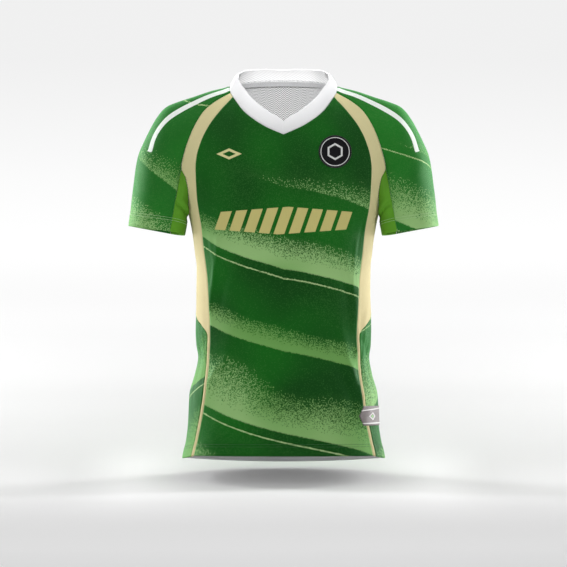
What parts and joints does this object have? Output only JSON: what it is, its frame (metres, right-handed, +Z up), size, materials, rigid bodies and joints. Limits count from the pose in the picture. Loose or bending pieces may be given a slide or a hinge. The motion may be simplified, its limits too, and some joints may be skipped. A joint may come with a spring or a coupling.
{
  "type": "football jersey",
  "caption": "Hollow short-sleeved raglan football jersey with a V-neck collar, side bands and underarm gussets, shown filled out.",
  "frame": {"origin": "midway between the two high shoulder points, where the wearer's shoulders hold the garment", "axes": "+Z up along the body, -Y to the front, +X to the wearer's left"},
  "size_m": [0.589, 0.254, 0.7515],
  "materials": {
    "body_knit": "matt polyester knit",
    "band_knit": "matt polyester knit",
    "gusset_knit": "matt polyester knit",
    "collar_knit": "fine ribbed knit",
    "tape": "woven tape",
    "patch": "woven patch",
    "label": "satin woven label"
  },
  "bodies": {
    "root": {"front": "body_knit", "back": "body_knit", "sleeve_left": "body_knit", "sleeve_right": "body_knit", "side_band_left": "band_knit", "side_band_right": "band_knit", "underarm_left": "gusset_knit", "underarm_right": "gusset_knit", "collar": "collar_knit", "neck_tape": "tape", "chest_patch": "patch", "hem_label": "label"}
  },
  "joints": []
}
